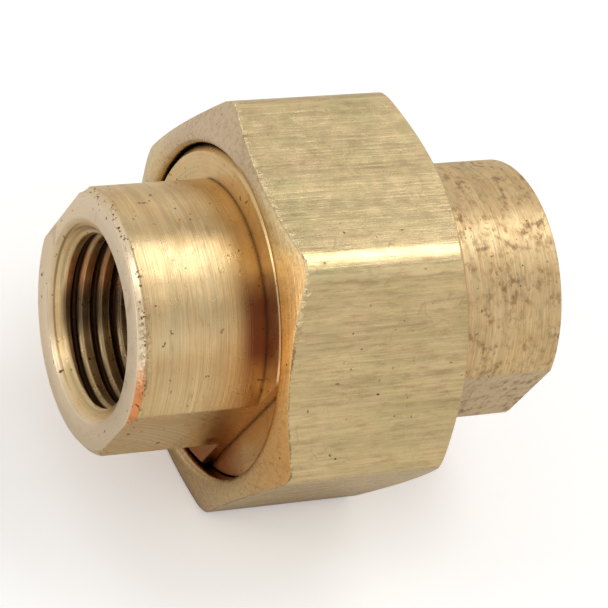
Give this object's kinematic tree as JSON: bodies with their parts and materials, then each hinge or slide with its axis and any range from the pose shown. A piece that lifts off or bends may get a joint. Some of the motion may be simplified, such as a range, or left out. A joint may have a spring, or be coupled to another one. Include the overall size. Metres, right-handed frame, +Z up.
{
  "type": "union fitting",
  "caption": "Brass pipe union: round necks with wrench flats and tapered female pipe threads, drawn together on a ball-and-cone seat by a hexagonal union nut.",
  "frame": {"origin": "on the fitting's axis, midway between the two chamfer rims of the union nut", "axes": "+X along the axis from the threaded body to the tailpiece; +Z up, opposite the nut flat the fitting rests on"},
  "size_m": [0.0307, 0.0286, 0.0254],
  "materials": {
    "body_brass": "turned, bright, with fine circumferential tool lines",
    "nut_brass": "extruded bar, dull, with long streaks and light scratches",
    "tail_brass": "turned, slightly tarnished, with small brown pits"
  },
  "bodies": {
    "threaded_body": {"threaded_body": "body_brass"},
    "tailpiece": {"tailpiece": "tail_brass"},
    "union_nut": {"union_nut": "nut_brass"}
  },
  "joints": [
    {"name": "tail_draw", "type": "slide", "parent": "threaded_body", "child": "tailpiece", "axis": [1, 0, 0], "range_m": [0, 0.00635]},
    {"name": "nut_turn", "type": "hinge", "parent": "tailpiece", "child": "union_nut", "pos_m": [0, 0, 0], "axis": [1, 0, 0], "range_deg": [0, 1260]}
  ],
  "couplings": [
    {"joint": "tail_draw", "follows": "nut_turn", "m_per_rad": 0.00028875}
  ]
}
